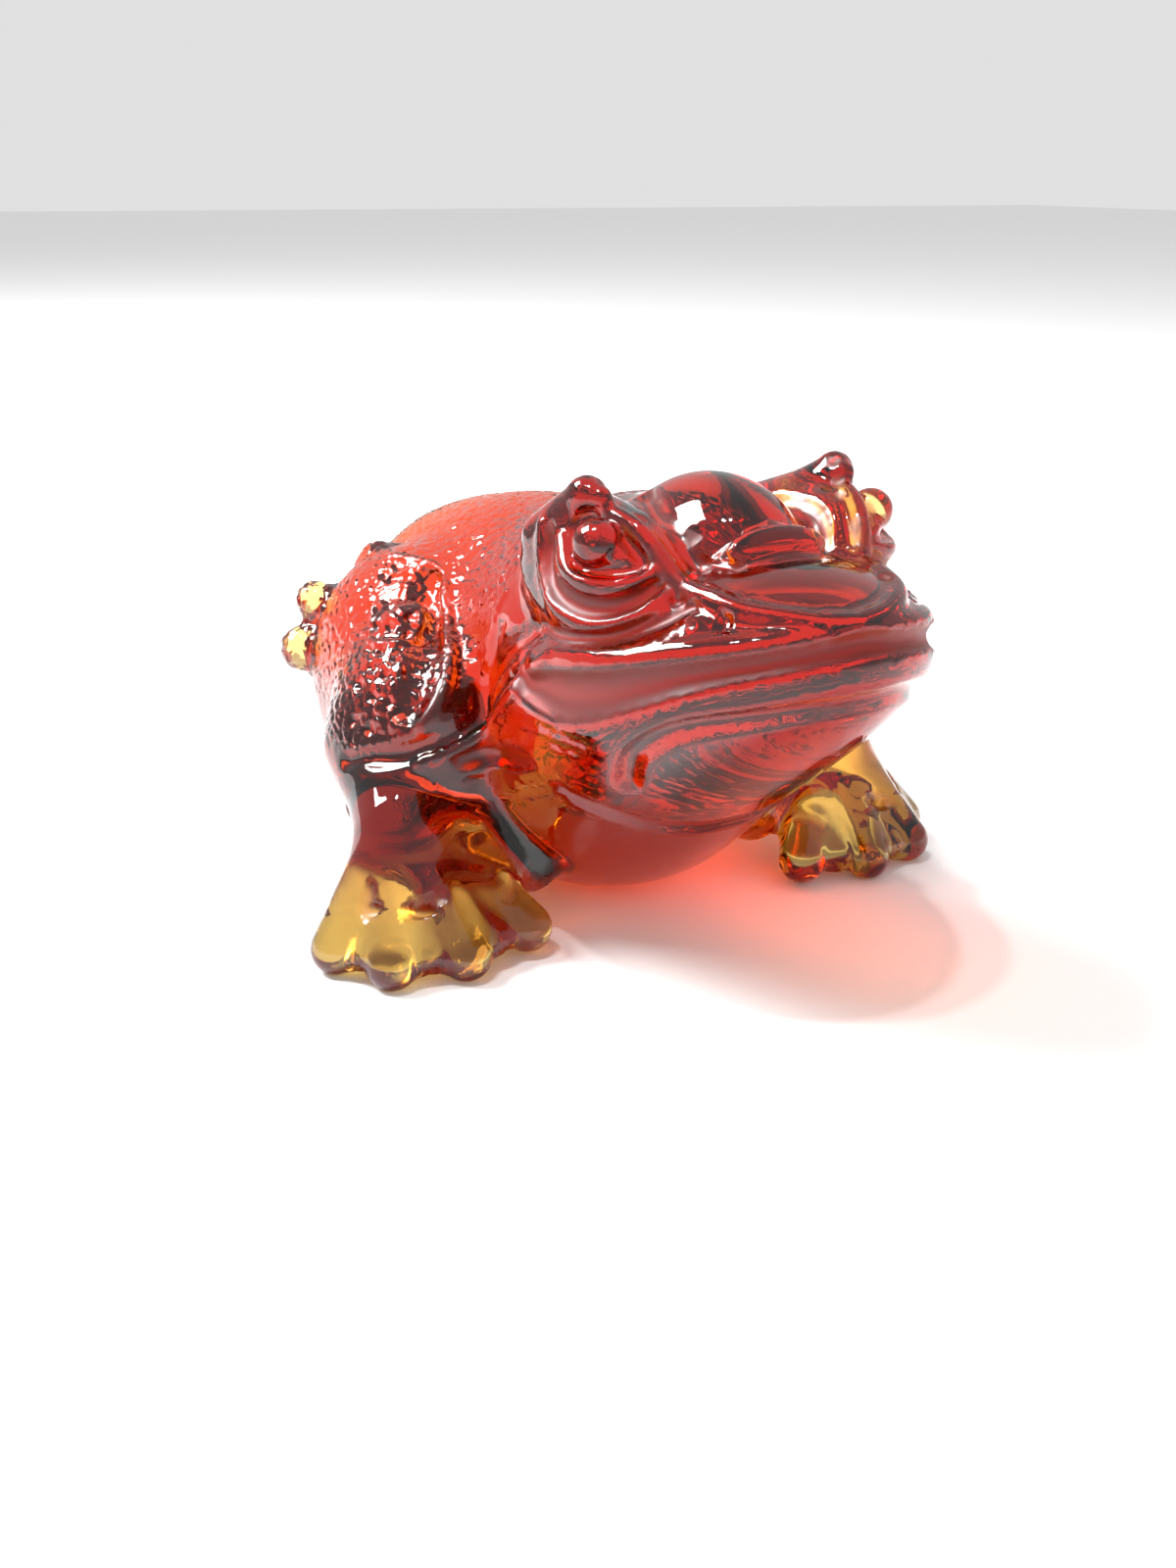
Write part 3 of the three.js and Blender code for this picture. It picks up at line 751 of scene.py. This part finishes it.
marks = [
    *(mark([dot], 0.75, -0.22, frost=1) for dot in DOTS),
    *(mark([pit], 0.7, -0.45, frost=0.25) for pit in KNOT_PITS),
    *(mark([pit], 0.75, -0.35, frost=0.15) for pit in HAUNCH_PITS),
    *(mark([oval], 0.9, -0.3) for oval in HAUNCH_OVALS),
    mark(CURL, 0.5, 0.35, frost=0.2),
    mark(KNOT_RIM, 0.6, 0.3, frost=0.3, closed=True),
]
print("fine marks:", len(marks))

# %% Seeds of the pebbled skin
PEBBLE = 1.25  # spacing of the pebbles, in millimetres
rng = np.random.default_rng(7)


def spread(p, spacing):
    """Points picked so that no two are nearer than the spacing: each has a random rank, and
    is kept when no nearer neighbour that is still left has a higher one."""
    rank = rng.random(len(p))
    left = np.ones(len(p), bool)
    kept = np.zeros(len(p), bool)
    close = ((p[:, None] - p[None]) ** 2).sum(2) < spacing * spacing
    for _ in range(6):
        best = np.where(close & left[None], rank[None], -1).max(1)
        chosen = left & (rank >= best)
        kept |= chosen
        left &= ~(close & chosen[None]).any(1)
    return p[kept]


def two_nearest(p, seeds):
    """Distances from each point to its nearest and its second nearest seed."""
    near = []
    for part in np.array_split(p, 1 + len(p) // 4000):
        d2 = (part**2).sum(1)[:, None] + (seeds**2).sum(1)[None] - 2 * part @ seeds.T
        near.append(np.sqrt(np.maximum(np.partition(d2, 1, axis=1)[:, :2], 0)))
    return np.vstack(near).T


in_skin = np.flatnonzero(skin_share(whole.T) > 0)
candidates = whole[rng.choice(in_skin, min(4500, len(in_skin)), replace=False)]
seeds = spread(candidates, PEBBLE * 0.78)
print("pebbles:", len(seeds), "on", len(in_skin), "points")

# %% Heights of the fine relief
normals = slope(form, whole.T)
normals /= np.linalg.norm(normals, axis=0)
sided = np.vstack([np.abs(whole[:, 0]), whole[:, 1], whole[:, 2]])
height, frost = relief(marks, sided)

nearest, second = two_nearest(whole[in_skin], seeds)
furrow = np.clip((second - nearest) / 0.55, 0, 1)
pebble = 0.17 * (furrow * furrow * (3 - 2 * furrow) - 1)
pit = -0.13 * np.exp(-((nearest / 0.36) ** 2))
height[in_skin] += skin_share(whole[in_skin].T) * (pebble + pit)
carved = whole + (normals * height).T
carved[:, 2] = np.maximum(carved[:, 2], 0)
print("fine relief from", round(height.min(), 2), "to", round(height.max(), 2), "mm")

# %% [markdown]
# ## The mesh object
# The points go into a Blender mesh in metres, moved so that the frog stands over the CAD
# frame's origin. Two numbers are kept with every point for the material: how matte the burr
# left it, and the amber's colour there. On the limbs and brow peaks that colour is darkened
# to an olive painted shade, which stands in for dark surroundings seen through thin amber.

# %% Frosting, amber colour and painted shade
frost = np.maximum(frost, relief(carved_lines, sided)[1])
frost = np.clip(frost, 0, 1)


def near_to(p, centre, radius, soft):
    """1 within the radius of a place, falling to 0 over the soft border."""
    d = np.sqrt(((p - np.array(centre)[:, None]) ** 2).sum(0))
    return np.clip((radius + soft - d) / soft, 0, 1)


CLEAR = np.array([1.0, 0.86, 0.62])
# The olive is painted shade: it darkens thin parts to stand in for dark surroundings seen through the amber.
OLIVE_PAINTED_SHADE = np.array([0.42, 0.37, 0.16])
HONEY = np.array([1.0, 0.9, 0.45])
# Masks for the painted olive shade: the low outer limbs fully, the brow peaks at 0.7.
limb_painted_shade = np.clip((9.5 - sided[2]) / 5, 0, 1) * np.clip((sided[0] - 11) / 3, 0, 1)
brow = near_to(sided, [11.2, -15.9, 38.5], 2, 4)
rump_share = np.clip((whole[:, 1] - 16) / 12, 0, 1) * np.clip((whole[:, 2] - 14) / 8, 0, 1)
# Each point starts as clear amber, takes the painted olive shade on limbs and brows, and turns honey-coloured on the
# rump.
tone_and_painted_shade = np.tile(CLEAR, (len(whole), 1))
for share, colour in ((limb_painted_shade, OLIVE_PAINTED_SHADE), (brow * 0.7, OLIVE_PAINTED_SHADE), (rump_share, HONEY)):
    tone_and_painted_shade += share[:, None] * (colour - tone_and_painted_shade)
print("matte points:", int((frost > 0.5).sum()))

# %% Frog mesh
mesh = bpy.data.meshes.new("frog")
mesh.from_pydata((carved - (0, MIDDLE_Y, 0)) * MM, [], faces)
mesh.shade_smooth()
matte = mesh.attributes.new("frosting", "FLOAT", "POINT")
matte.data.foreach_set("value", frost)
# This colour attribute holds the amber colour together with the painted olive shade on limbs and brow peaks.
tone_and_shade_attribute = mesh.color_attributes.new("amber_tone_and_painted_shade", "FLOAT_COLOR", "POINT")
tone_and_shade_attribute.data.foreach_set("color", np.hstack([tone_and_painted_shade, np.ones((len(tone_and_painted_shade), 1))]).ravel())
frog = bpy.data.objects.new("frog", mesh)
bpy.context.scene.collection.objects.link(frog)
print("mesh is valid:", not mesh.validate())

# %% [markdown]
# ## Amber
# Clear amber bends light by about 1.54 and swallows blue and then green on the way through,
# so thin rims are yellow-orange and the thick middle is a deep red-brown. A Principled shader
# with full transmission gives the surface, and a volume that only absorbs gives the depth.
# Where the burr left the surface matte, it is rough and its tint turns creamy, but the stone
# stays see-through everywhere.

# %% Amber material
amber = bpy.data.materials.new("clear_amber")
amber.use_nodes = True
nodes = amber.node_tree.nodes
links = amber.node_tree.links
shader = nodes["Principled BSDF"]
shader.inputs["IOR"].default_value = 1.54
shader.inputs["Transmission Weight"].default_value = 1.0
frost_node = nodes.new("ShaderNodeAttribute")
frost_node.attribute_name = "frosting"
# Reads the amber colour with its painted olive shade for the base colour.
tone_and_shade_node = nodes.new("ShaderNodeAttribute")
tone_and_shade_node.attribute_name = "amber_tone_and_painted_shade"


def by_frost(clear, matte_value):
    """A number that runs from the polished to the matte surface."""
    node = nodes.new("ShaderNodeMapRange")
    node.inputs["To Min"].default_value = clear
    node.inputs["To Max"].default_value = matte_value
    links.new(frost_node.outputs["Fac"], node.inputs["Value"])
    return node.outputs["Result"]


links.new(by_frost(0.02, 0.5), shader.inputs["Roughness"])
cream = nodes.new("ShaderNodeMix")
cream.data_type = "RGBA"
cream.inputs["B"].default_value = (0.62, 0.36, 0.22, 1)
links.new(frost_node.outputs["Fac"], cream.inputs["Factor"])
links.new(tone_and_shade_node.outputs["Color"], cream.inputs["A"])
links.new(cream.outputs["Result"], shader.inputs["Base Color"])

depth = nodes.new("ShaderNodeVolumeAbsorption")
depth.inputs["Color"].default_value = (0.93, 0.66, 0.03, 1)
depth.inputs["Density"].default_value = 300
links.new(depth.outputs["Volume"], nodes["Material Output"].inputs["Volume"])
mesh.materials.append(amber)
print("absorption per metre:", depth.inputs["Density"].default_value)

# %% Riding on the frame
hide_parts("frog_carving")
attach(frog, "root")
print("frog stands for the CAD solid")

# %% [markdown]
# ## Floor and light
# The carving was photographed on white. The floor is one large pale plane, the world is an
# even white, a soft box stands to the upper left, and two small lamps beside each other
# make the paired glints on every polished fold.

# %% Floor
bpy.ops.mesh.primitive_plane_add(size=4)
floor = bpy.context.object
floor.name = "floor"
paper = bpy.data.materials.new("pale_floor")
paper.use_nodes = True
paper.node_tree.nodes["Principled BSDF"].inputs["Base Color"].default_value = (0.86, 0.86, 0.86, 1)
paper.node_tree.nodes["Principled BSDF"].inputs["Roughness"].default_value = 0.9
floor.data.materials.append(paper)
print("floor", tuple(round(v, 1) for v in floor.dimensions))

# %% World and lamps
scene = bpy.context.scene
scene.view_settings.view_transform = "Standard"
world = bpy.data.worlds.new("white_room")
world.use_nodes = True
world.node_tree.nodes["Background"].inputs["Color"].default_value = (1, 1, 1, 1)
world.node_tree.nodes["Background"].inputs["Strength"].default_value = 0.75
scene.world = world


def lamp(name, side, height, ahead, size, power):
    """A square lamp that faces the frog, placed in the camera's own directions, in metres."""
    data = bpy.data.lights.new(name, "AREA")
    data.size = size
    data.energy = power
    lamp_object = bpy.data.objects.new(name, data)
    place = TARGET + right * side + Vector((0, 0, 1)) * height - back * ahead
    lamp_object.matrix_world = Matrix.Translation(place) @ (place - TARGET).to_track_quat("Z", "Y").to_matrix().to_4x4()
    scene.collection.objects.link(lamp_object)
    return lamp_object


lamp("soft_box", -0.35, 0.45, 0.1, 0.25, 6)
lamp("glint_left", -0.12, 0.42, -0.1, 0.02, 0.5)
lamp("glint_right", -0.06, 0.42, -0.1, 0.02, 0.5)
